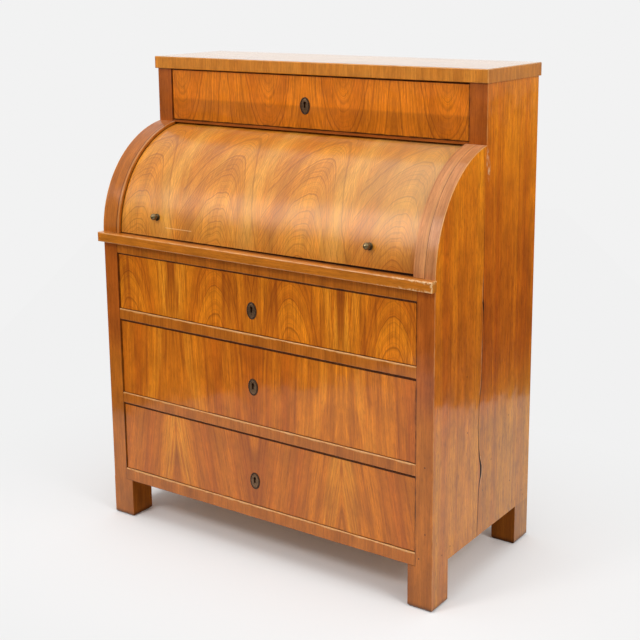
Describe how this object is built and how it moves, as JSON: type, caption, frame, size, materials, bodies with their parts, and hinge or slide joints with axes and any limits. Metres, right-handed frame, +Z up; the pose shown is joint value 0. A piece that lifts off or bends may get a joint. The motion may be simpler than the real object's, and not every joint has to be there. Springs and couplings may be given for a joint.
{
  "type": "cylinder desk",
  "caption": "Cherry-veneered cylinder desk with a turning quarter-cylinder fall, pull-out writing slide, lockable drawers and block feet.",
  "frame": {"origin": "centre of the desk's bounding box, on the floor", "axes": "+Z up, the front faces -Y, +X to the right as seen from the front"},
  "size_m": [0.998, 0.515, 1.218],
  "materials": {
    "fall_veneer": "satin shellac",
    "drawer_veneer": "satin shellac",
    "side_veneer": "satin shellac",
    "solid_cherry": "satin shellac",
    "desk_veneer": "satin shellac",
    "softwood": "bare planed",
    "aged_brass": "patinated",
    "iron": "forged, oiled"
  },
  "bodies": {
    "carcass": {"top_board": "side_veneer", "left_side_panel": "side_veneer", "right_side_panel": "side_veneer", "left_stile": "solid_cherry", "right_stile": "solid_cherry", "upper_stiles": "solid_cherry", "left_arc_band": "solid_cherry", "right_arc_band": "solid_cherry", "feet": "solid_cherry", "bottom_rail": "solid_cherry", "lower_drawer_rail": "solid_cherry", "upper_drawer_rail": "solid_cherry", "slide_rail": "solid_cherry", "top_drawer_rail": "solid_cherry", "back_boards": "softwood", "bottom_board": "softwood", "drawer_runners": "softwood", "top_drawer_runners": "softwood", "slide_bearers": "softwood", "slide_bed": "softwood", "pivot_pins": "iron", "cylinder_stops": "softwood", "gallery_shelves": "desk_veneer", "gallery_partitions": "desk_veneer"},
    "fall": {"cylinder_shell": "fall_veneer", "left_quadrant_arm": "softwood", "right_quadrant_arm": "softwood", "fall_knobs": "aged_brass"},
    "writing_slide": {"writing_lip": "solid_cherry", "writing_board": "desk_veneer"},
    "top_drawer": {"top_drawer_front": "drawer_veneer", "top_drawer_box": "softwood", "top_drawer_bottom": "softwood", "top_drawer_escutcheon": "aged_brass", "top_drawer_lock_case": "iron"},
    "top_drawer_bolt": {"top_drawer_lock_bolt": "iron"},
    "upper_drawer": {"upper_drawer_front": "drawer_veneer", "upper_drawer_box": "softwood", "upper_drawer_bottom": "softwood", "upper_drawer_escutcheon": "aged_brass", "upper_drawer_lock_case": "iron"},
    "upper_drawer_bolt": {"upper_drawer_lock_bolt": "iron"},
    "middle_drawer": {"middle_drawer_front": "drawer_veneer", "middle_drawer_box": "softwood", "middle_drawer_bottom": "softwood", "middle_drawer_escutcheon": "aged_brass", "middle_drawer_lock_case": "iron"},
    "middle_drawer_bolt": {"middle_drawer_lock_bolt": "iron"},
    "lower_drawer": {"lower_drawer_front": "drawer_veneer", "lower_drawer_box": "softwood", "lower_drawer_bottom": "softwood", "lower_drawer_escutcheon": "aged_brass", "lower_drawer_lock_case": "iron"},
    "lower_drawer_bolt": {"lower_drawer_lock_bolt": "iron"},
    "left_small_drawer": {"left_small_drawer": "desk_veneer", "left_small_knob": "aged_brass"},
    "right_small_drawer": {"right_small_drawer": "desk_veneer", "right_small_knob": "aged_brass"}
  },
  "joints": [
    {"name": "fall_turn", "type": "hinge", "parent": "carcass", "child": "fall", "pos_m": [0, 0.038, 0.775], "axis": [-1, 0, 0], "range_deg": [0, 55]},
    {"name": "writing_slide_pull", "type": "slide", "parent": "carcass", "child": "writing_slide", "axis": [0, -1, 0], "range_m": [0, 0.24]},
    {"name": "top_drawer_pull", "type": "slide", "parent": "carcass", "child": "top_drawer", "axis": [0, -1, 0], "range_m": [0, 0.16]},
    {"name": "top_drawer_bolt_throw", "type": "slide", "parent": "top_drawer", "child": "top_drawer_bolt", "axis": [0, 0, 1], "range_m": [0, 0.008]},
    {"name": "upper_drawer_pull", "type": "slide", "parent": "carcass", "child": "upper_drawer", "axis": [0, -1, 0], "range_m": [0, 0.32]},
    {"name": "upper_drawer_bolt_throw", "type": "slide", "parent": "upper_drawer", "child": "upper_drawer_bolt", "axis": [0, 0, 1], "range_m": [0, 0.008]},
    {"name": "middle_drawer_pull", "type": "slide", "parent": "carcass", "child": "middle_drawer", "axis": [0, -1, 0], "range_m": [0, 0.32]},
    {"name": "middle_drawer_bolt_throw", "type": "slide", "parent": "middle_drawer", "child": "middle_drawer_bolt", "axis": [0, 0, 1], "range_m": [0, 0.008]},
    {"name": "lower_drawer_pull", "type": "slide", "parent": "carcass", "child": "lower_drawer", "axis": [0, -1, 0], "range_m": [0, 0.32]},
    {"name": "lower_drawer_bolt_throw", "type": "slide", "parent": "lower_drawer", "child": "lower_drawer_bolt", "axis": [0, 0, 1], "range_m": [0, 0.008]},
    {"name": "left_small_drawer_pull", "type": "slide", "parent": "carcass", "child": "left_small_drawer", "axis": [0, -1, 0], "range_m": [0, 0.11]},
    {"name": "right_small_drawer_pull", "type": "slide", "parent": "carcass", "child": "right_small_drawer", "axis": [0, -1, 0], "range_m": [0, 0.11]}
  ]
}
